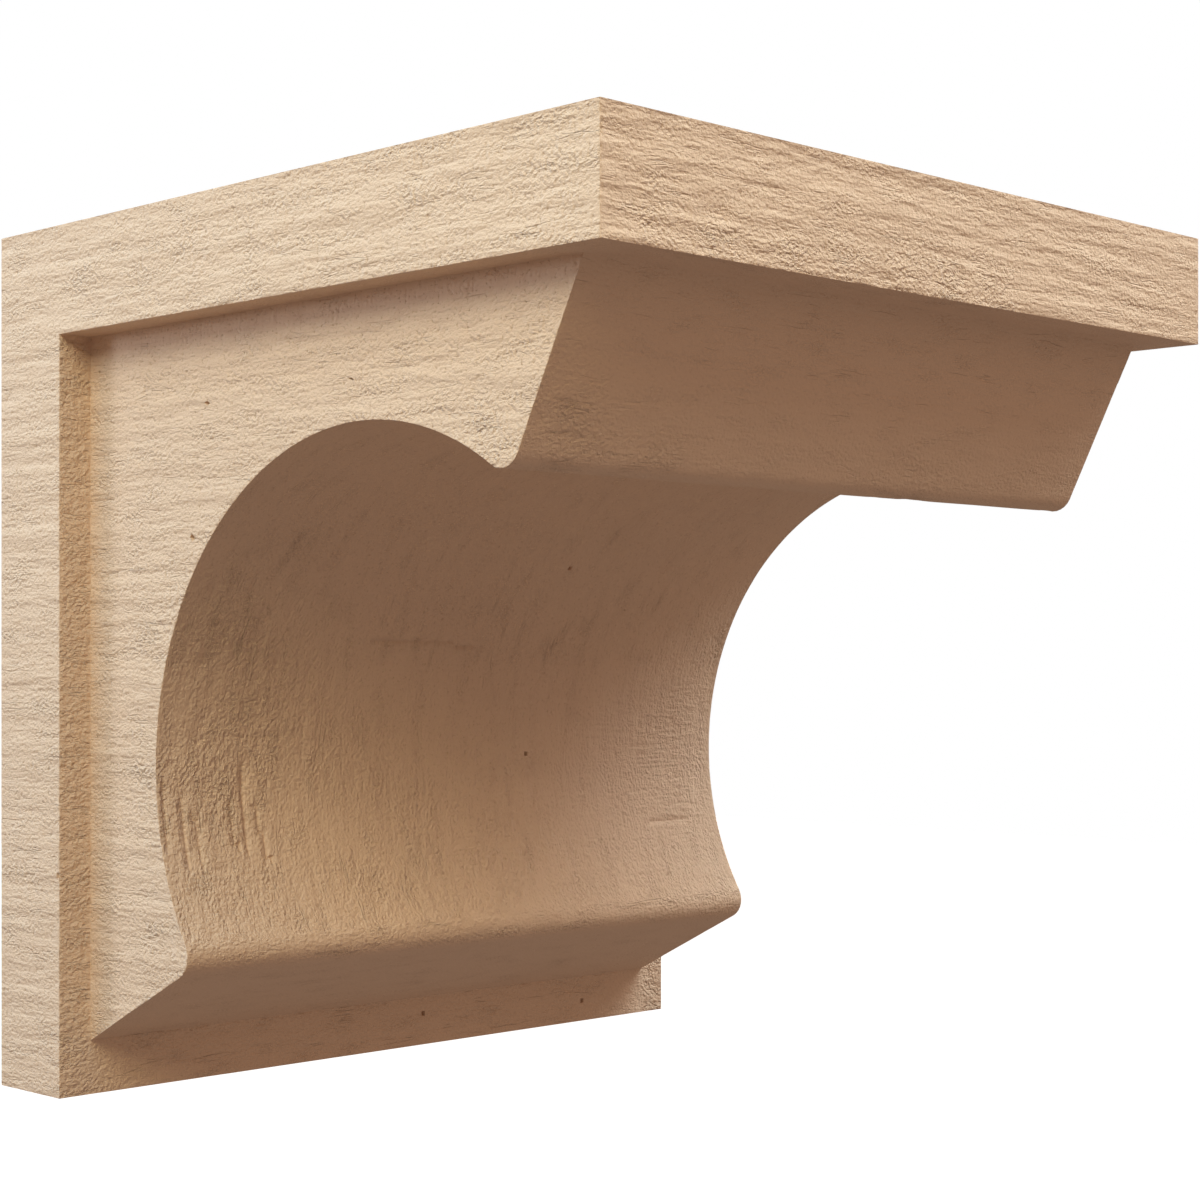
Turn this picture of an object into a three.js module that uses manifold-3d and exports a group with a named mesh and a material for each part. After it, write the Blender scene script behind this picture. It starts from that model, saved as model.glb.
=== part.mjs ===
// A corbel cast in one piece from rigid polyurethane foam: a back plate that sits on the wall,
// a cap that carries the load above, and a hollowed body that braces one against the other.
// Millimetres, +Z up. The origin is the centre of the back face, +Y points into the wall,
// and the corbel reaches out along -Y.

import * as THREE from 'three';
import { mergeVertices } from 'three/addons/utils/BufferGeometryUtils.js';
import ManifoldModule from 'manifold-3d';

// Driving dimensions
const overall = 304.8;          // width, height and reach out from the wall are the same
const slabThickness = 38.1;     // of the back plate and of the cap
const bodyInset = 12.7;         // the body stands in by this much from both sides of the slabs
const faceLean = 0.5;           // the body's front leans back by 1 for every 2 down
const coveRadius = 110.3;       // the quarter-round hollow under the body
const coveCentre = 188.4;       // its centre, out from the wall and down from the top alike
const noseRadius = 7.94;        // the rounded edge between each leaning face and the cove

// How finely the round stretches are divided
const noseSteps = 8;
const halfCoveSteps = 28;

// How deep the body runs into the slabs, so that the three grow into one solid
const rootDepth = slabThickness / 2;

const bodyWidth = overall - 2 * bodyInset;

// The section is drawn by how far a point is out from the wall (x) and down from the top (y).
// It is the same on both sides of the 45 degree diagonal, so half of it gives the whole.
const acrossDiagonal = (point) => new THREE.Vector2(point.y, point.x);

// The leaning face runs from the cap's top front edge: out = overall - faceLean * down.
const onLeaningFace = (down) => new THREE.Vector2(overall - faceLean * down, down);

// The nose touches the leaning face and the cove smoothly: its centre is noseRadius behind the
// face, and coveRadius + noseRadius away from the cove's centre.
function noseCentre() {
  const faceSetBack = noseRadius * Math.hypot(1, faceLean);
  const startOut = overall - faceSetBack - coveCentre;
  const reach = coveRadius + noseRadius;
  const a = 1 + faceLean ** 2;
  const b = faceLean * startOut + coveCentre;
  const c = startOut ** 2 + coveCentre ** 2 - reach ** 2;
  const down = (b - Math.sqrt(b ** 2 - a * c)) / a;
  return new THREE.Vector2(overall - faceSetBack - faceLean * down, down);
}

// From the root inside the cap, down the leaning face, round the nose and along the cove
// as far as the diagonal.
function halfOfBodySection() {
  const nose = noseCentre();
  const cove = new THREE.Vector2(coveCentre, coveCentre);
  const faceNormalAngle = Math.atan2(faceLean, 1);
  const noseToCoveAngle = cove.clone().sub(nose).angle();
  const coveToNoseAngle = nose.clone().sub(cove).angle();
  const diagonalAngle = Math.PI * 5 / 4;
  const noseArc = new THREE.EllipseCurve(
    nose.x, nose.y, noseRadius, noseRadius, faceNormalAngle, noseToCoveAngle, false);
  const coveArc = new THREE.EllipseCurve(
    cove.x, cove.y, coveRadius, coveRadius, coveToNoseAngle, diagonalAngle, true);
  return [
    onLeaningFace(rootDepth),
    ...noseArc.getPoints(noseSteps),
    ...coveArc.getPoints(halfCoveSteps).slice(1),
  ];
}

function bodySection() {
  const upper = halfOfBodySection();
  const lower = upper.slice(0, -1).reverse().map(acrossDiagonal);
  return [new THREE.Vector2(rootDepth, rootDepth), ...upper, ...lower];
}

// The back plate and the cap, seen from the side, are one L.
function slabSection() {
  const half = [
    new THREE.Vector2(overall, 0),
    new THREE.Vector2(overall, slabThickness),
    new THREE.Vector2(slabThickness, slabThickness),
  ];
  const otherHalf = half.slice(0, -1).reverse().map(acrossDiagonal);
  return [new THREE.Vector2(0, 0), ...half, ...otherHalf];
}

// A section swept along X, centred on the middle of the corbel.
function sweptAcross(section, width) {
  const outline = section.map((point) => new THREE.Vector2(-point.x, overall / 2 - point.y));
  const geometry = new THREE.ExtrudeGeometry(new THREE.Shape(outline), {
    depth: width,
    bevelEnabled: false,
  });
  const sectionToCorbel = new THREE.Matrix4().makeBasis(
    new THREE.Vector3(0, 1, 0), new THREE.Vector3(0, 0, 1), new THREE.Vector3(1, 0, 0));
  return geometry.translate(0, 0, -width / 2).applyMatrix4(sectionToCorbel);
}

const manifold = await ManifoldModule();
manifold.setup();

function toSolid(geometry) {
  geometry.deleteAttribute('normal');
  geometry.deleteAttribute('uv');
  const merged = mergeVertices(geometry);
  return new manifold.Manifold(new manifold.Mesh({
    numProp: 3,
    vertProperties: new Float32Array(merged.attributes.position.array),
    triVerts: new Uint32Array(merged.index.array),
  }));
}

function toGeometry(solid) {
  const mesh = solid.getMesh();
  const geometry = new THREE.BufferGeometry();
  geometry.setAttribute('position', new THREE.BufferAttribute(mesh.vertProperties, 3));
  geometry.setIndex(new THREE.BufferAttribute(mesh.triVerts, 1));
  geometry.computeVertexNormals();
  return geometry;
}

// Factory-primed foam with a rough-sawn face, a matt light tan.
const primedFoam = new THREE.MeshStandardMaterial({
  color: new THREE.Color(0.74, 0.58, 0.45),
  roughness: 0.75,
  metalness: 0,
});

function makeCorbel() {
  const slabs = toSolid(sweptAcross(slabSection(), overall));
  const body = toSolid(sweptAcross(bodySection(), bodyWidth));
  const corbel = new THREE.Mesh(toGeometry(slabs.add(body)), primedFoam);
  corbel.name = 'corbel';
  return corbel;
}

const part = new THREE.Group();
part.add(makeCorbel());

export default part;
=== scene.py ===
# %% [markdown]
# # A rough-sawn foam corbel
# A corbel is a block that stands out from a wall and carries an eave or a beam. This one is
# cast in one piece from rigid polyurethane foam in a mould taken from rough-sawn timber, and
# primed a light tan at the factory. The frame holds its exact solid. Here the same form is
# made again as a fine mesh, fine enough to hold the saw marks, and given its finish.

# %% Load the frame
import math

import bmesh
import bpy
from mathutils import Matrix, Vector, noise


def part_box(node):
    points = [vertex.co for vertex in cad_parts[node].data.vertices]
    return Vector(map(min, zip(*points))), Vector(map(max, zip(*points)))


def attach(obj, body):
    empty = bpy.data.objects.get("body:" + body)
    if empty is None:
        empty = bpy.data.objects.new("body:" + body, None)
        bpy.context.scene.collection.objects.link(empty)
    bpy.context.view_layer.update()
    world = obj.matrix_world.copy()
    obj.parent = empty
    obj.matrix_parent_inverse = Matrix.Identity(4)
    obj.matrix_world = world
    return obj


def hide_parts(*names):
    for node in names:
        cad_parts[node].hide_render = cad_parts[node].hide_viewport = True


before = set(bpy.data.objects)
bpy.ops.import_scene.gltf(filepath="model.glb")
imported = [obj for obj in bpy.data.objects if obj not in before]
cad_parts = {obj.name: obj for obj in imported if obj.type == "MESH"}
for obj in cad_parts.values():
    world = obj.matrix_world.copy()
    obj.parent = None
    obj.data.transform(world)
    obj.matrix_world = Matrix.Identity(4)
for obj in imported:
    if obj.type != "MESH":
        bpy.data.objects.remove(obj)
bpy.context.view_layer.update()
block_low, block_high = (Vector(corner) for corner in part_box("corbel"))
overall = block_high.x - block_low.x
print("the block is", round(overall * 1000, 1), "mm each way")

# %% [markdown]
# ## The sizes
# The section of the corbel is drawn by how far a point is out from the wall and down from the
# top. It is the same on both sides of its 45 degree diagonal, so the cap and the back plate
# have one thickness, and the face under the cap and the face at the foot lean alike.

# %% Name the sizes of the section
MM = 0.001
SLAB = 38.1 * MM
BODY_INSET = 12.7 * MM
FACE_LEAN = 0.5
COVE_RADIUS = 110.3 * MM
COVE_CENTRE = 188.4 * MM
NOSE_RADIUS = 7.94 * MM
CELL = 1.85 * MM

body_side = overall / 2 - BODY_INSET
top_z = block_high.z
print("the body is", round(2 * body_side / MM, 1), "mm wide, in cells of", CELL / MM, "mm")


def in_section(out, down):
    """A point of the section, at the body's left side."""
    return Vector((-body_side, -out, top_z - down))


def cells_along(length):
    """How many cells of the mesh go into a length."""
    return max(1, round(length / CELL))


# %% [markdown]
# ## Where the nose touches
# The nose is a small round between the leaning face and the cove. A joiner would find its
# centre with compasses: one radius behind the face, and a cove radius plus a nose radius from
# the cove's centre. The same two conditions give a quadratic here.

# %% Find the centre of the nose
face_setback = NOSE_RADIUS * math.hypot(1, FACE_LEAN)
start_out = overall - face_setback - COVE_CENTRE
quad_a = 1 + FACE_LEAN ** 2
quad_b = FACE_LEAN * start_out + COVE_CENTRE
quad_c = start_out ** 2 + COVE_CENTRE ** 2 - (COVE_RADIUS + NOSE_RADIUS) ** 2
nose_down = (quad_b - math.sqrt(quad_b ** 2 - quad_a * quad_c)) / quad_a
nose_out = overall - face_setback - FACE_LEAN * nose_down
nose_start = math.atan2(FACE_LEAN, 1)
nose_end = math.atan2(COVE_CENTRE - nose_down, COVE_CENTRE - nose_out)
nose_sweep = nose_end - nose_start
cove_start = nose_end - math.pi
cove_half_sweep = cove_start - math.radians(-135)
print("nose centre", round(nose_out / MM, 2), "out and", round(nose_down / MM, 2), "down")

# %% [markdown]
# ## The section as a sheet of cells
# The whole block is one section pushed across the width, so its section is made first, as a
# flat sheet of small four-sided cells. The outline is spun and extruded from a single point.
# The cells of the body run from that outline to the inner corner of the L that the cap and
# the plate make, so they follow the cove instead of being cut off by it.

# %% Draw the outline of the body, down to the diagonal
section = bmesh.new()
across = Vector((1, 0, 0))


def extend(mesh, vert, out, down):
    """A straight run of cells from a corner to another place; returns the new corner."""
    target = in_section(out, down)
    steps = cells_along((target - vert.co).length)
    for step in range(steps):
        made = bmesh.ops.extrude_vert_indiv(mesh, verts=[vert])
        part_way = (target - vert.co) / (steps - step)
        bmesh.ops.translate(mesh, verts=made["verts"], vec=part_way)
        vert = made["verts"][0]
    return vert


def swing(mesh, vert, out, down, angle, radius):
    """A run of cells round a centre. Turning about +X takes the section from out to down."""
    steps = cells_along(abs(angle) * radius)
    made = bmesh.ops.spin(mesh, geom=[vert], cent=in_section(out, down), axis=across,
                          angle=angle, steps=steps, use_merge=False, use_duplicate=False)
    return next(item for item in made["geom_last"] if isinstance(item, bmesh.types.BMVert))


face_top = overall - FACE_LEAN * SLAB
first = section.verts.new(in_section(face_top, SLAB))
tangent_out = nose_out + NOSE_RADIUS * math.cos(nose_start)
tangent_down = nose_down + NOSE_RADIUS * math.sin(nose_start)
vert = extend(section, first, tangent_out, tangent_down)
vert = swing(section, vert, nose_out, nose_down, nose_sweep, NOSE_RADIUS)
vert = swing(section, vert, COVE_CENTRE, COVE_CENTRE, -cove_half_sweep, COVE_RADIUS)
outline = list(section.verts)
print(len(outline), "points down to the diagonal, the last at",
      round(-vert.co.y / MM, 2), "out and", round((top_z - vert.co.z) / MM, 2), "down")

# %% [markdown]
# ## From the outline to the inner corner
# A second run of points, as many as the outline has, goes from the top of the leaning face
# along the cap to the inner corner. Bridging the two gives one long cell across the body for
# each pair, and cutting those across gives the sheet. The first pair meets in one point, so
# doubles are merged and the cells there close to triangles.

# %% Bridge the outline to the cap line and cut the cells across
LAYERS = 42
NEAR = 1e-5

inner_corner = in_section(SLAB, SLAB)
cap_line = [section.verts.new(first.co)]
cap_cell = (inner_corner - first.co) / (len(outline) - 1)
for _ in outline[1:]:
    made = bmesh.ops.extrude_vert_indiv(section, verts=[cap_line[-1]])
    bmesh.ops.translate(section, verts=made["verts"], vec=cap_cell)
    cap_line.append(made["verts"][0])
cap_line_edges = {edge for vert in cap_line for edge in vert.link_edges}
bridged = bmesh.ops.bridge_loops(section, edges=section.edges[:])
cross_edges = [edge for edge in bridged["edges"] if edge not in cap_line_edges]
bmesh.ops.subdivide_edges(section, edges=cross_edges, cuts=LAYERS - 1, use_grid_fill=True)
bmesh.ops.remove_doubles(section, verts=section.verts[:], dist=NEAR)
print("the upper half of the body has", len(section.faces), "cells")


# %% [markdown]
# ## The cap, the plate and the corner between them
# The line along the cap goes on to the cap's front edge, and is raised by the thickness of the
# slab. A copy of that half of the section, mirrored across the diagonal by a scale of minus one,
# makes the foot of the body and the back plate. The square corner, where the diagonal itself
# runs, is pulled out of the end of the cap afterwards.

# %% Raise the cap, mirror it and close the corner
def move_in_cells(mesh, made, offset):
    """Moves what was just extruded by an offset, and cuts the way there into cells."""
    moved = {item for item in made if isinstance(item, bmesh.types.BMVert)}
    bmesh.ops.translate(mesh, verts=list(moved), vec=offset)
    along = [edge for edge in mesh.edges if len(moved & set(edge.verts)) == 1]
    bmesh.ops.subdivide_edges(mesh, edges=along, cuts=cells_along(offset.length) - 1,
                              use_grid_fill=True)


def pull(mesh, edges, offset):
    """Sweeps edges by an offset, in cells."""
    made = bmesh.ops.extrude_edge_only(mesh, edges=edges)
    move_in_cells(mesh, made["geom"], offset)


def edges_between(mesh, low, high):
    """The edges that lie in a box."""
    return [edge for edge in mesh.edges if all(
        low[axis] - NEAR < vert.co[axis] < high[axis] + NEAR
        for vert in edge.verts for axis in range(3))]


section.verts.ensure_lookup_table()
first = min(section.verts, key=lambda vert: (vert.co - in_section(face_top, SLAB)).length)
extend(section, first, overall, SLAB)
cap_edges = edges_between(section, in_section(overall, SLAB), inner_corner)
pull(section, cap_edges, Vector((0, 0, SLAB)))
upper_half = section.verts[:] + section.edges[:] + section.faces[:]
halves = bmesh.ops.duplicate(section, geom=upper_half)
lower_half = [item for item in halves["geom"] if isinstance(item, bmesh.types.BMVert)]
diagonal_normal = Vector((0, 1, -1)).normalized()
from_top = Matrix.Translation((0, 0, top_z))
over_diagonal = from_top @ Matrix.Scale(-1, 4, diagonal_normal) @ from_top.inverted()
bmesh.ops.transform(section, matrix=over_diagonal, verts=lower_half)
corner_edges = edges_between(section, inner_corner, in_section(SLAB, 0))
pull(section, corner_edges, Vector((0, SLAB, 0)))
bmesh.ops.remove_doubles(section, verts=section.verts[:], dist=NEAR)
open_edges = [edge for edge in section.edges if edge.is_boundary]
print("the section has", len(section.faces), "cells and",
      round(sum(edge.calc_length() for edge in open_edges) / MM, 1), "mm of outline")

# %% [markdown]
# ## From the section to the block
# The sheet is pushed across the width of the body, which gives a block with the section at
# both ends. The parts of the two ends that belong to the cap and the plate are then pulled
# out further, so the slabs overhang the body on both sides. The hidden top and back don't
# need cells: each is dissolved to one flat face.

# %% Push the section across
PARALLEL = 0.999


def faces_along(mesh, normal, distance):
    """The faces that lie in a plane."""
    return [face for face in mesh.faces
            if face.normal.dot(normal) > PARALLEL
            and abs(face.calc_center_median().dot(normal) - distance) < NEAR]


def push(mesh, faces, offset):
    """Extrudes a region of faces by an offset, in cells."""
    region = {item for face in faces for item in (face, *face.edges, *face.verts)}
    made = bmesh.ops.extrude_face_region(mesh, geom=list(region))
    move_in_cells(mesh, made["geom"], offset)


casting = section
push(casting, casting.faces[:], across * (2 * body_side))
bmesh.ops.recalc_face_normals(casting, faces=casting.faces[:])
for side in (-1, 1):
    end_faces = faces_along(casting, across * side, body_side)
    slab_faces = [face for face in end_faces
                  if face.calc_center_median().z > inner_corner.z
                  or face.calc_center_median().y > inner_corner.y]
    push(casting, slab_faces, across * (side * BODY_INSET))
bmesh.ops.recalc_face_normals(casting, faces=casting.faces[:])
for normal, distance in ((Vector((0, 0, 1)), top_z), (Vector((0, 1, 0)), block_high.y)):
    hidden = faces_along(casting, normal, distance)
    bmesh.ops.dissolve_faces(casting, faces=hidden, use_verts=True)
print(len(casting.faces), "faces, closed:", all(edge.is_manifold for edge in casting.edges),
      ", volume", round(casting.calc_volume() * 1000, 3), "litres")

# %% [markdown]
# ## Soft arrises
# A mould never gives a knife edge: the foam shrinks a little and the primer rounds it off. A
# bevel does the same to the outward edges. Those of the top and the back stay sharp, because
# both faces are trimmed flat after casting. Where the cells beside an edge are narrower than
# the round, as at the tip of the leaning face, there is no room for it and the edge is left.

# %% Round the arrises
ARRIS = 0.22 * MM
ROOM_FOR_ARRIS = 1.5 * ARRIS
CORNER_ANGLE = math.radians(20)
MOST_CELL_CORNERS = 10


def has_room(edge):
    """True if the faces on both sides of an edge are wide enough to be rounded into."""
    return all(face.calc_area() > ROOM_FOR_ARRIS * edge.calc_length() for face in edge.link_faces)


def is_trimmed_flat(face):
    """True for the top and the back, the two faces with more corners than any cell has."""
    return len(face.verts) > MOST_CELL_CORNERS


arrises = [edge for edge in casting.edges
           if edge.is_convex and edge.calc_face_angle() > CORNER_ANGLE and has_room(edge)
           and not any(is_trimmed_flat(face) for face in edge.link_faces)]
bmesh.ops.bevel(casting, geom=arrises, offset=ARRIS, offset_type="OFFSET", segments=2,
                profile=0.5, affect="EDGES", material=-1, clamp_overlap=False)
print("rounded", len(arrises), "edges; now", len(casting.faces), "faces")

# %% [markdown]
# ## The run of the grain
# The mould was taken from sawn boards, so every face has a direction. On the cap and the plate
# the boards lie level, and in the cove the grain follows the curve. A UV map holds this: its
# first coordinate runs along the grain and its second across, both in metres, and each board
# has its own stretch of the map so that no two show the same piece of timber. So it has to be
# known first which board a face was cast against, and the way it faces tells that.

# %% Tell the boards apart
SIDEWAYS = 0.7


def out_and_down(place):
    """Where a point lies in the section."""
    return block_high.y - place.y, top_z - place.z


def board_of(normal, middle):
    """Which board of the mould a face was cast against."""
    if abs(normal.x) > SIDEWAYS:
        return "left" if normal.x < 0 else "right"
    out, down = out_and_down(middle)
    if abs(middle.x) < body_side and min(out, down) > SLAB + NEAR:
        far, near = max(out, down), min(out, down)
        angle = math.atan2(near - COVE_CENTRE, far - COVE_CENTRE)
        return "cove" if angle < cove_start else "leaning"
    if abs(normal.z) > SIDEWAYS:
        return "level"
    return "front" if out > overall / 2 else "plate"


boards = {}
for face in casting.faces:
    board = board_of(face.normal, face.calc_center_median())
    boards[board] = boards.get(board, 0) + 1
print("faces of each board:", boards)

# %% [markdown]
# ## The map of the grain
# In the cove and on the noses the grain's first coordinate is a length along a curve, so it is
# measured round from the diagonal: an arc of the cove, then an arc of the nose, then a straight
# piece of the leaning face. Everywhere else the coordinates are those of the block. A number on
# each face says how strongly the long ridges of the saw show there.

# %% Lay the grain on every face
BOARD_GAP = 1.5
RIDGED = {
    "left": 0.85, "right": 0.85, "front": 0.9, "plate": 0.3,
    "level": 0.3, "cove": 0.5, "leaning": 0.25,
}
cove_half_arc = COVE_RADIUS * cove_half_sweep
nose_arc = NOSE_RADIUS * nose_sweep


def distance_round(board, out, down):
    """How far a point of the body's outline is from the diagonal; negative below it."""
    half = 1 if out >= down else -1
    far, near = max(out, down), min(out, down)
    if board == "cove":
        angle = math.atan2(near - COVE_CENTRE, far - COVE_CENTRE)
        return half * COVE_RADIUS * (angle + math.radians(135))
    from_nose = math.atan2(near - nose_down, far - nose_out)
    if from_nose > nose_start:
        return half * (cove_half_arc + NOSE_RADIUS * (nose_end - from_nose))
    return half * (cove_half_arc + nose_arc + math.hypot(far - tangent_out, near - tangent_down))


def along_and_across(board, place):
    """The grain's two coordinates at a point of a board."""
    if board == "left":
        return place.y, place.z
    if board == "right":
        return place.y, place.z + BOARD_GAP
    if board == "cove":
        return distance_round(board, *out_and_down(place)), place.x + 2 * BOARD_GAP
    if board == "leaning":
        return place.x, distance_round(board, *out_and_down(place)) + 3 * BOARD_GAP
    if board == "level":
        return place.x, place.y + 4 * BOARD_GAP
    if board == "front":
        return place.x, place.z + 5 * BOARD_GAP
    return place.x, place.z + 6 * BOARD_GAP


grain = casting.loops.layers.uv.new("grain")
ridged = casting.faces.layers.float.new("ridged")
for face in casting.faces:
    board = board_of(face.normal, face.calc_center_median())
    face[ridged] = RIDGED[board]
    for loop in face.loops:
        loop[grain].uv = along_and_across(board, loop.vert.co)
print("the cove is", round(2 * cove_half_arc / MM, 1), "mm round,",
      "each nose", round(nose_arc / MM, 1))

# %% [markdown]
# ## Places on the block
# Some marks have to be where the photograph shows them. A maker would point at them on each
# face, in millimetres out from the wall, down from the top, or across from the middle. In the
# cove the second number is the distance round from the diagonal. One small function for each
# face turns such a pair into a point of the block.

# %% Point at a place on each face
def on_side(out, down):
    """A place on the left side of the slabs."""
    return Vector((block_low.x, -out * MM, top_z - down * MM))


def on_body_side(out, down):
    """A place on the left side of the body."""
    return Vector((-body_side, -out * MM, top_z - down * MM))


def on_front(x, down):
    """A place on the front of the cap."""
    return Vector((x * MM, block_low.y, top_z - down * MM))


def on_plate(x, down):
    """A place on the front of the back plate."""
    return Vector((x * MM, -SLAB, top_z - down * MM))


def on_leaning_face(x, down):
    """A place on the face under the cap."""
    return Vector((x * MM, FACE_LEAN * down * MM - overall, top_z - down * MM))


def in_cove(x, arc):
    """A place in the cove, by its distance round from the diagonal."""
    angle = arc * MM / COVE_RADIUS - math.radians(135)
    at_the_left = in_section(COVE_CENTRE + COVE_RADIUS * math.cos(angle),
                             COVE_CENTRE + COVE_RADIUS * math.sin(angle))
    return at_the_left + across * (x * MM + body_side)


print("the middle of the cove lies", [round(part / MM, 1) for part in in_cove(0, 0)], "mm along")

# %% [markdown]
# ## Where the saw tore the timber
# Rough-sawn timber isn't rough all over. The saw tears some places and leaves others nearly
# smooth, and the mould copies both. The patches that the photograph shows are listed by their
# middle, their reach in millimetres and how much more torn they are than the face around them.
# A second list has the patches where the fibres stand up across the grain.

# %% List the torn patches
torn_patches = [
    (on_side(228, 16), 9, 0.9), (on_side(288, 12), 12, 0.6), (on_side(122, 19), 14, 0.4),
    (on_side(60, 20), 10, 0.3), (on_side(20, 230), 14, 0.4),
    (on_body_side(243, 84), 8, 0.8), (on_body_side(268, 60), 9, 0.6),
    (on_body_side(75, 244), 14, 0.6), (on_body_side(66, 120), 10, 0.4),
    (on_front(-130, 31), 15, 1.1), (on_front(-102, 32), 16, 1.1), (on_front(-75, 33), 15, 1.0),
    (on_front(-48, 32), 15, 1.1), (on_front(-22, 32), 15, 1.2), (on_front(4, 32), 15, 1.3),
    (on_front(28, 33), 14, 1.3), (on_front(100, 20), 30, 0.3),
    (on_plate(-136, 297), 12, 0.5), (on_plate(-120, 284), 9, 0.7), (on_plate(-95, 284), 9, 0.7),
    (on_plate(-65, 284), 9, 0.6), (on_plate(-30, 284), 9, 0.4),
    (on_leaning_face(-120, 88), 22, 1.2), (on_leaning_face(-80, 90), 14, 0.8),
    (on_leaning_face(50, 90), 26, 0.5), (on_leaning_face(105, 87), 16, 0.5),
    (in_cove(-118, -95), 28, 1.3), (in_cove(-95, -68), 26, 1.2), (in_cove(-60, -85), 20, 0.7),
    (in_cove(122, -92), 22, 0.3), (in_cove(-30, -108), 20, 0.4),
    (in_cove(20, -112), 16, 0.4), (in_cove(-120, -35), 28, 1.4), (in_cove(-105, 0), 26, 0.8),
]
crossed_patches = [
    (in_cove(122, -70), 24, 1.0), (in_cove(105, -90), 26, 1.2), (in_cove(75, -75), 20, 0.6),
    (in_cove(118, -112), 20, 0.9), (in_cove(0, -124), 14, 0.9), (in_cove(-80, -20), 20, 0.5),
]


def with_patches(level, place, patches):
    """A level raised near the middle of each patch, but not beyond twice its reach."""
    for middle, reach, more in patches:
        gap = (place - middle).length / (reach * MM)
        if gap < 2:
            level += more * math.exp(-2 * gap * gap)
    return level


print("there are", len(torn_patches), "torn patches and", len(crossed_patches), "crossed ones")

# %% [markdown]
# ## How torn each place is
# A number on every vertex says how torn its surface is: a level for each kind of face, slow
# noise over it, and the patches. The relief and the material both read it. A second number
# marks the crossed fibres: in a band on the body's sides under the cap, and in their patches.

# %% Mark the torn places
FACING = 0.95
TORN_SIDES = 1.0
TORN_CAP_FRONT = 0.6
TORN_PLATE_STRIPS = 1.7
TORN_PLATE_FOOT = 1.1
TORN_UNDERSIDES = 0.8
TORN_LOW_LEAST = 0.6
TORN_LOW_MOST = 1.4
TORN_PER_METRE = 12
LEAST_TORN = 0.05
DRIFT_OF_TORN = 0.3
DRIFTS_PER_METRE = 45
CROSSED_BAND = 16 * MM
MOST_CROSSED = 1.2


def face_torn(place, normal):
    """How torn a kind of face is; in the lower half of the cove it grows below the diagonal."""
    out, down = out_and_down(place)
    if abs(normal.x) > SIDEWAYS:
        return TORN_SIDES
    if normal.y < -FACING and out > overall / 2:
        return TORN_CAP_FRONT
    if normal.y < -FACING:
        return TORN_PLATE_STRIPS if abs(place.x) > body_side else TORN_PLATE_FOOT
    if out > down or normal.z < -SIDEWAYS:
        return TORN_UNDERSIDES
    return min(TORN_LOW_MOST, TORN_LOW_LEAST + TORN_PER_METRE * (down - out))


def how_torn(place, normal):
    """From 0, nearly smooth, to about 2, badly torn."""
    drift = noise.fractal(place * DRIFTS_PER_METRE, 1.0, 2.0, 3)
    level = face_torn(place, normal) * (1 + DRIFT_OF_TORN * drift)
    return max(LEAST_TORN, with_patches(level, place, torn_patches))


def how_crossed(place, normal):
    """How strongly the fibres stand across the grain, up to a little over 1."""
    out, down = out_and_down(place)
    level = 0.0
    if abs(normal.x) > SIDEWAYS and body_side > abs(place.x) - NEAR and out > SLAB:
        level = max(0.0, 1 - (down - SLAB) / CROSSED_BAND)
    return min(MOST_CROSSED, with_patches(level, place, crossed_patches))


torn = casting.verts.layers.float.new("torn")
crossed = casting.verts.layers.float.new("crossed")
for vert in casting.verts:
    vert[torn] = how_torn(vert.co, vert.normal)
    vert[crossed] = how_crossed(vert.co, vert.normal)
levels = [vert[torn] for vert in casting.verts]
print("torn from", round(min(levels), 2), "to", round(max(levels), 2),
      "with a mean of", round(sum(levels) / len(levels), 2))

# %% [markdown]
# ## The relief
# The larger marks are real relief: low ridges along the grain, and hollows where fibres were
# pulled out. Each vertex is pressed in along its normal, never pulled out, so the block keeps
# its size. The top and the back are trimmed flat to meet the eave and the wall, so their
# vertices stay in their planes. Marks finer than a cell are left to the material.

# %% Press in the larger saw marks
RIDGE_DEPTH = 0.2 * MM
RIDGES_PER_METRE = (30, 170)
HOLLOW_DEPTH = 0.5 * MM
HOLLOWS_PER_METRE = (110, 200)
SHALLOWEST_HOLLOW = 0.12
DEPTH_AT_A_CORNER = 0.2


def stretched_noise(along, across_grain, per_metre, shift):
    """Noise with so many marks to a metre along the grain and across it."""
    return noise.noise(Vector((along * per_metre[0], across_grain * per_metre[1], shift)))


def pressed_in(along, across_grain, roughness):
    """How deep the surface lies under the flat at one place of the grain."""
    ridge = stretched_noise(along, across_grain, RIDGES_PER_METRE, 3)
    hollow = stretched_noise(along, across_grain, HOLLOWS_PER_METRE, 9)
    hollow = max(0.0, hollow - SHALLOWEST_HOLLOW)
    return RIDGE_DEPTH * (0.5 + 0.5 * ridge) + HOLLOW_DEPTH * roughness * hollow


presses = []
for vert in casting.verts:
    loop = max(vert.link_loops, key=lambda one: one.face.calc_area())
    depth = pressed_in(*loop[grain].uv, vert[torn])
    if any(edge.calc_face_angle() > CORNER_ANGLE for edge in vert.link_edges):
        depth *= DEPTH_AT_A_CORNER
    offset = -vert.normal * depth
    if vert.co.z > top_z - NEAR:
        offset.z = 0
    if vert.co.y > block_high.y - NEAR:
        offset.y = 0
    presses.append((vert, offset))
for vert, offset in presses:
    vert.co += offset
print("pressed in by up to", round(max(offset.length for _, offset in presses) / MM, 2), "mm")

# %% [markdown]
# ## Pinholes and gouges
# Air trapped against the mould leaves pinholes about a millimetre wide, and a few stray cuts of
# the saw run down the cove. Each is cut out of the cells it falls in: they are inset together,
# and the face inside is pushed into the foam.

# %% Sink the pinholes and cut the gouges
PINHOLE_RIM = 0.42 * MM
PINHOLE_DEPTH = 2.2 * MM
GOUGE_RIM = 0.65 * MM
GOUGE_DEPTH = 0.7 * MM


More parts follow.
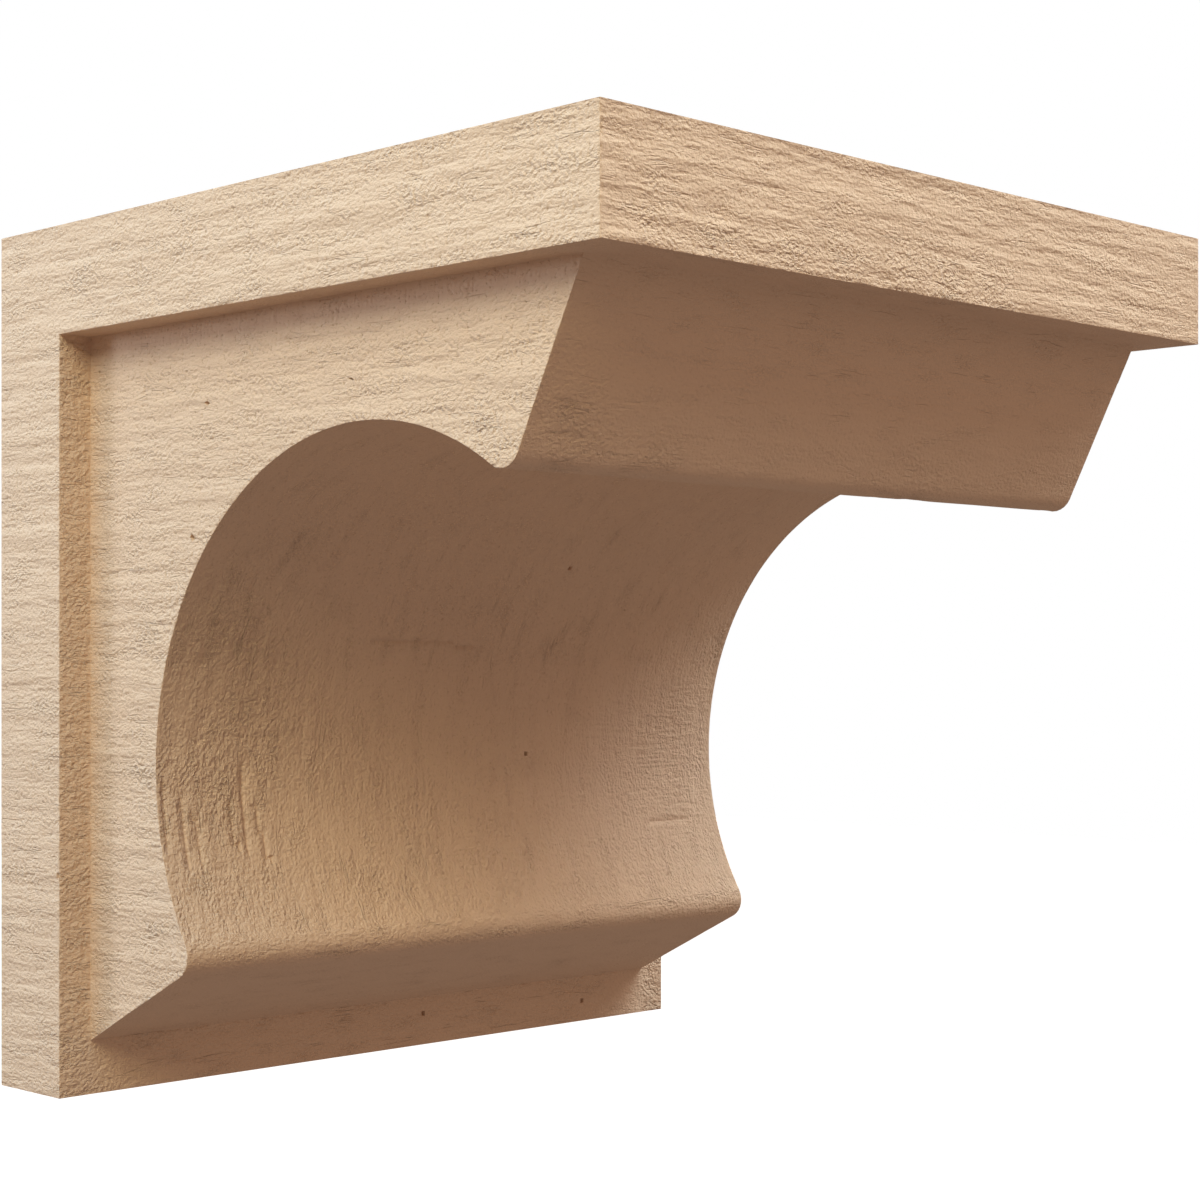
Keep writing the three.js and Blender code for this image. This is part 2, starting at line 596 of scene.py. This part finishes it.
def sink(faces, rim, depth):
    """Insets a region of cells and pushes its inside in."""
    bmesh.ops.inset_region(casting, faces=faces, thickness=rim, depth=0, use_even_offset=True,
                           use_boundary=True, use_interpolate=True)
    inward = -sum((face.normal for face in faces), Vector()).normalized()
    inside = {vert for face in faces for vert in face.verts}
    bmesh.ops.translate(casting, verts=list(inside), vec=inward * depth)


def nearest_cell(place, faces):
    """The cell whose middle is nearest to a place."""
    return min(faces, key=lambda face: (face.calc_center_median() - place).length_squared)


pinholes = [
    on_body_side(210, 64), on_body_side(183, 65), on_body_side(107, 66), on_body_side(99, 110),
    on_side(37, 226), in_cove(33, -86), in_cove(32, -9), on_plate(15, 292), on_plate(104, 297),
]
cells = [face for face in casting.faces if len(face.verts) == 4]
for place in pinholes:
    sink([nearest_cell(place, cells)], PINHOLE_RIM, PINHOLE_DEPTH)

gouges = [
    (-136, -114, -136, -92), (-130, -122, -130, -98), (-124, -121, -125, -103),
    (-108, -117, -110, -100), (-103, -118, -103, -86), (-95, -121, -99, -101),
    (-51, -42, -2, -43), (100, -116, 122, -117),
]
for x_from, arc_from, x_to, arc_to in gouges:
    start, end = in_cove(x_from, arc_from), in_cove(x_to, arc_to)
    steps = 2 * cells_along((end - start).length)
    run = [in_cove(x_from + (x_to - x_from) * step / steps,
                   arc_from + (arc_to - arc_from) * step / steps)
           for step in range(steps + 1)]
    cut = {nearest_cell(place, cells) for place in run}
    sink(list(cut), GOUGE_RIM, GOUGE_DEPTH)
print("sank", len(pinholes), "pinholes and", len(gouges), "gouges")

# %% [markdown]
# ## The finished casting
# The form becomes an object of the scene. Its cells are shaded smooth, so they don't show as
# facets, but the shading breaks at every corner of more than 50 degrees, and the top and the
# back stay flat. The object stays at the origin, because the cells are already in their places.
# It stands in for the solid of the frame and belongs to the same body.

# %% Make the piece
BREAK_ANGLE = math.radians(50)

for face in casting.faces:
    face.smooth = not is_trimmed_flat(face)
mesh = bpy.data.meshes.new("corbel_casting")
casting.to_mesh(mesh)
casting.free()
mesh.set_sharp_from_angle(angle=BREAK_ANGLE)
corbel = bpy.data.objects.new("corbel_casting", mesh)
bpy.context.scene.collection.objects.link(corbel)
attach(corbel, "root")
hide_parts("corbel")
mesh.calc_loop_triangles()
print("the casting has", len(mesh.loop_triangles), "triangles")

# %% [markdown]
# ## The camera
# The photograph was taken level with the middle of the block and along its diagonal. Its
# vertical edges stay upright, so the camera isn't tilted: its lens is shifted up a little.

# %% Place the camera
VIEW_TURN = math.radians(45)
VIEW_DISTANCE = 856.4 * MM
LENS_LENGTH = 71.35
SENSOR_WIDTH = 36
LENS_SHIFT = 0.0517

axis = Vector((0, (block_low.y + block_high.y) / 2, 0))
looking = Vector((math.sin(VIEW_TURN), math.cos(VIEW_TURN), 0))
camera_data = bpy.data.cameras.new("camera")
camera_data.lens = LENS_LENGTH
camera_data.sensor_width = SENSOR_WIDTH
camera_data.shift_y = LENS_SHIFT
camera = bpy.data.objects.new("camera", camera_data)
camera.location = axis - looking * VIEW_DISTANCE
camera.rotation_euler = looking.to_track_quat("-Z", "Y").to_euler()
bpy.context.scene.collection.objects.link(camera)
bpy.context.scene.camera = camera
print("the camera stands", VIEW_DISTANCE, "m from the middle, with a", LENS_LENGTH, "mm lens")

# %% [markdown]
# ## The primer
# The corbel is sprayed at the factory with a matt, light tan primer. It is opaque, so the
# wood pattern is only relief and never a darker line of real timber. The finish is one
# principled shader with a high roughness. Numbers that are the same all over are set on it.

# %% Start the material
ROUGHNESS = 0.82
GLOSS = 0.3

material = bpy.data.materials.new("primed_foam")
material.use_nodes = True
nodes, links = material.node_tree.nodes, material.node_tree.links
primer = nodes["Principled BSDF"]
primer.inputs["Roughness"].default_value = ROUGHNESS
primer.inputs["Specular IOR Level"].default_value = GLOSS
mesh.materials.append(material)
print("the primer has a roughness of", ROUGHNESS, "and a gloss of", GLOSS)

# %% [markdown]
# ## What the finish reads
# The finish has to know where it is. It reads the map of the grain and the three numbers that
# the mesh carries. Heights are then worked out from them with small steps of arithmetic, so a
# few helpers for those steps come first.

# %% Read the mesh and prepare the arithmetic
grain_map = nodes.new("ShaderNodeUVMap")
grain_map.uv_map = "grain"


def carried(name):
    """A number that the mesh carries, by its name."""
    level = nodes.new("ShaderNodeAttribute")
    level.attribute_name = name
    return level.outputs["Fac"]


torn_here = carried("torn")
ridged_here = carried("ridged")
crossed_here = carried("crossed")


def fill(socket, source):
    """Links an output to an input, or sets a plain number on it."""
    if isinstance(source, bpy.types.NodeSocket):
        links.new(source, socket)
    else:
        socket.default_value = source


def calculate(operation, *sources):
    """One step of arithmetic on heights."""
    node = nodes.new("ShaderNodeMath")
    node.operation = operation
    for socket, source in zip(node.inputs, sources):
        fill(socket, source)
    return node.outputs[0]


def together(operation, sources):
    """Takes the sources two at a time, until one height is left."""
    result = sources[0]
    for source in sources[1:]:
        result = calculate(operation, result, source)
    return result


def total(*sources):
    """The sum of several heights."""
    return together("ADD", sources)


def product(*sources):
    """Several heights, levels or plain numbers multiplied."""
    return together("MULTIPLY", sources)


def above_zero(source):
    """A height with nothing left of it below zero."""
    return calculate("MAXIMUM", source, 0.0)


print("the finish has", len(nodes), "nodes so far")

# %% [markdown]
# ## Marks of the saw
# Every mark is the same kind of noise, stretched by how many fit into a metre along the grain
# and across it. Heights are in millimetres. Marks nearly as long as they are wide give the
# granules of the spray and the foam, which gather in clusters with smoother timber between;
# long and narrow ones give the grain; short and wide ones give the strokes of the saw, which
# cross it.

# %% Make the noises
CREASE_WIDTH = 0.03


def marks(along, across_grain, detail=2.0, shift=0.0):
    """Noise around zero, with so many marks to a metre along the grain and across it."""
    stretched = nodes.new("ShaderNodeVectorMath")
    stretched.operation = "MULTIPLY_ADD"
    links.new(grain_map.outputs["UV"], stretched.inputs[0])
    stretched.inputs[1].default_value = (along, across_grain, 1)
    stretched.inputs[2].default_value = (shift, shift, shift)
    texture = nodes.new("ShaderNodeTexNoise")
    texture.inputs["Scale"].default_value = 1
    texture.inputs["Detail"].default_value = detail
    links.new(stretched.outputs[0], texture.inputs["Vector"])
    return calculate("SUBTRACT", texture.outputs["Fac"], 0.5)


def creases(noise_value, width):
    """One along the lines where a noise crosses zero, falling to nothing beside them."""
    slope = calculate("DIVIDE", calculate("ABSOLUTE", noise_value), width)
    return above_zero(calculate("SUBTRACT", 1.0, slope))


granules = marks(720, 860, detail=2)
clusters = above_zero(marks(50, 150, detail=2, shift=43))
lumps = marks(330, 380, detail=2, shift=7)
grain_lines = marks(110, 520, detail=2, shift=13)
ripples = marks(60, 260, detail=2, shift=17)
ridges = marks(9, 120, detail=1, shift=19)
saw_strokes = marks(560, 90, detail=2, shift=23)
long_creases = creases(marks(42, 330, detail=2, shift=31), CREASE_WIDTH)
crease_places = above_zero(marks(60, 170, detail=2, shift=37))
print("with its noises it has", len(nodes))

# %% [markdown]
# ## The height of the surface
# The marks are weighed by where they belong and added up, in millimetres. Granules stand
# higher in their clusters and where the timber is torn, lumps only where it is badly torn,
# and grain, ripples and ridges where the saw left them. Real geometry this fine would take
# millions of faces, so the shader's bump turns the height into light and shade instead.

# %% Add the heights and bump the surface
ALWAYS_ROUGH = 0.15
ROUGH_PER_TORN = 0.85
BADLY_TORN_FROM = 0.8
SCATTERED_GRANULES = 0.55
CLUSTERED_GRANULES = 4
LUMP_HEIGHT = 1.35
GRAIN_HEIGHT = 0.55
CROSSED_HEIGHT = 0.70
CREASE_DEPTH = 1.2
RIPPLE_HEIGHT = 0.85
RIDGE_HEIGHT = 1.6
STROKE_HEIGHT = 0.1

roughened = total(product(torn_here, ROUGH_PER_TORN), ALWAYS_ROUGH)
badly_torn = above_zero(calculate("SUBTRACT", torn_here, BADLY_TORN_FROM))
clustered = product(total(product(clusters, CLUSTERED_GRANULES), SCATTERED_GRANULES), roughened)
height = total(
    product(granules, clustered),
    product(lumps, badly_torn, LUMP_HEIGHT),
    product(grain_lines, ridged_here, GRAIN_HEIGHT),
    product(saw_strokes, crossed_here, CROSSED_HEIGHT),
    product(crease_places, torn_here, long_creases, -CREASE_DEPTH),
    product(ripples, ridged_here, RIPPLE_HEIGHT),
    product(ridges, ridged_here, RIDGE_HEIGHT),
    product(saw_strokes, STROKE_HEIGHT),
)
bump = nodes.new("ShaderNodeBump")
bump.inputs["Strength"].default_value = 1
bump.inputs["Distance"].default_value = MM
links.new(height, bump.inputs["Height"])
links.new(bump.outputs["Normal"], primer.inputs["Normal"])
print("the finish has", len(nodes), "nodes")

# %% [markdown]
# ## The colour
# The primer's colour hardly changes: it drifts by a few hundredths over the width of a hand.
# The finest pits of the granules are painted darker, as painted shade in the pits.

# %% Colour the primer
PRIMER = (0.70, 0.505, 0.358, 1)
# The darker colour that the drift and the painted shade in the pits both go towards.
DARK_TONE_AND_PIT_SHADE = (0.36, 0.205, 0.11, 1)
DRIFT_OF_COLOUR = 0.12
SHALLOWEST_PIT = 0.08
PIT_SHADE_PER_DEPTH = 4.5

drift = product(marks(14, 22, detail=1, shift=41), DRIFT_OF_COLOUR)
# Painted shade: the colour is darkened in the finest pits of the granules, where shade falls.
pit_depth = above_zero(product(total(granules, SHALLOWEST_PIT), -1))
painted_pit_shade = product(pit_depth, ridged_here, PIT_SHADE_PER_DEPTH)
drift_and_pit_shade = nodes.new("ShaderNodeMath")
drift_and_pit_shade.operation = "ADD"
drift_and_pit_shade.use_clamp = True
links.new(drift, drift_and_pit_shade.inputs[0])
links.new(painted_pit_shade, drift_and_pit_shade.inputs[1])
tint = nodes.new("ShaderNodeMix")
tint.data_type = "RGBA"
tint.inputs["A"].default_value = PRIMER
tint.inputs["B"].default_value = DARK_TONE_AND_PIT_SHADE
links.new(drift_and_pit_shade.outputs[0], tint.inputs["Factor"])
links.new(tint.outputs["Result"], primer.inputs["Base Color"])
print("the colour goes from", PRIMER[:3], "towards", DARK_TONE_AND_PIT_SHADE[:3])

# %% [markdown]
# ## The light
# Soft boxes light the block, as in a studio. The warm one at the left makes the sides the
# brightest faces. A small cool one beside the wall and a broad cool one overhead take the
# yellow out of it again, so only the places that neither reaches stay golden: beside the back
# plate and low in the cove. Two nearly white ones at the right light the cap's front and the
# right of the cove, and a weak warm one in front lifts the cove's shade.

# %% Hang the soft boxes
LAMP_DISTANCE = 1.6


def soft_box(name, height_angle, turn, reach, radiance):
    """A round lamp seen from the block at a height, and at a turn from +X, in degrees. Its rim
    is so many degrees from its middle, and its face shines with one radiance for each colour."""
    up, round_z = math.radians(height_angle), math.radians(turn)
    towards = Vector((math.cos(up) * math.cos(round_z),
                      math.cos(up) * math.sin(round_z),
                      math.sin(up)))
    lamp = bpy.data.lights.new(name, "AREA")
    lamp.shape = "DISK"
    lamp.size = 2 * LAMP_DISTANCE * math.tan(math.radians(reach))
    strongest = max(radiance)
    lamp.color = [part / strongest for part in radiance]
    lamp.energy = strongest * math.pi * math.pi * (lamp.size / 2) ** 2
    box = bpy.data.objects.new(name, lamp)
    box.location = axis + towards * LAMP_DISTANCE
    box.rotation_euler = towards.to_track_quat("Z", "Y").to_euler()
    bpy.context.scene.collection.objects.link(box)
    print(name, "is", round(lamp.size, 2), "m across and gives", round(lamp.energy, 1), "W")


soft_box("warm_left", 39, 204, 17, (6.4, 5.75, 3.4))
soft_box("cool_left", 10, 133, 6, (18.5, 20, 22.3))
soft_box("cool_overhead", 63, 152, 42, (0.85, 1.7, 2.6))
soft_box("white_right", 58, 306, 22, (3.6, 4.7, 5.1))
soft_box("far_right", 45, 335, 18, (3.4, 3.3, 3.2))
soft_box("warm_front", 31, 286, 26, (0.6, 0.33, 0.17))

# %% [markdown]
# ## The floor
# The block hangs level with the camera, so a pale plain floor lies well below it. It gives some
# light of its own, so that it is as white as the photograph's background, and throws none of
# it onto the block, because only the camera sees the floor.

# %% Lay the floor
FLOOR_DEPTH = 1.1
FLOOR_REACH = 12

floor_mesh = bpy.data.meshes.new("floor")
floor_form = bmesh.new()
bmesh.ops.create_grid(floor_form, x_segments=1, y_segments=1, size=FLOOR_REACH)
floor_form.to_mesh(floor_mesh)
floor_form.free()
floor = bpy.data.objects.new("floor", floor_mesh)
floor.location.z = -FLOOR_DEPTH
bpy.context.scene.collection.objects.link(floor)
floor_paint = bpy.data.materials.new("floor_paint")
floor_paint.use_nodes = True
floor_surface = floor_paint.node_tree.nodes["Principled BSDF"]
floor_surface.inputs["Base Color"].default_value = (0.9, 0.9, 0.9, 1)
floor_surface.inputs["Roughness"].default_value = 0.9
floor_surface.inputs["Emission Color"].default_value = (1, 1, 1, 1)
floor_surface.inputs["Emission Strength"].default_value = 0.9
floor_mesh.materials.append(floor_paint)
floor.visible_diffuse = False
floor.visible_glossy = False
print("the floor is", FLOOR_DEPTH, "m below the middle of the block")

# %% [markdown]
# ## The air
# The air behind the block is as white as the photograph's background, but a white that shone
# on the block from all round would drown every shade. So only the camera sees the white, and
# the light that reaches the block from all round is much dimmer and a little warm.

# %% Fill the air
world = bpy.data.worlds.new("studio")
bpy.context.scene.world = world
world.use_nodes = True
air = world.node_tree
dim = air.nodes["Background"]
dim.inputs["Color"].default_value = (0.3, 0.235, 0.2, 1)
dim.inputs["Strength"].default_value = 1
white = air.nodes.new("ShaderNodeBackground")
white.inputs["Color"].default_value = (1, 1, 1, 1)
light_path = air.nodes.new("ShaderNodeLightPath")
either = air.nodes.new("ShaderNodeMixShader")
air.links.new(light_path.outputs["Is Camera Ray"], either.inputs[0])
air.links.new(dim.outputs[0], either.inputs[1])
air.links.new(white.outputs[0], either.inputs[2])
air.links.new(either.outputs[0], air.nodes["World Output"].inputs["Surface"])
bpy.context.scene.view_settings.view_transform = "Standard"
print("the air gives", [round(part, 3) for part in dim.inputs["Color"].default_value[:3]])
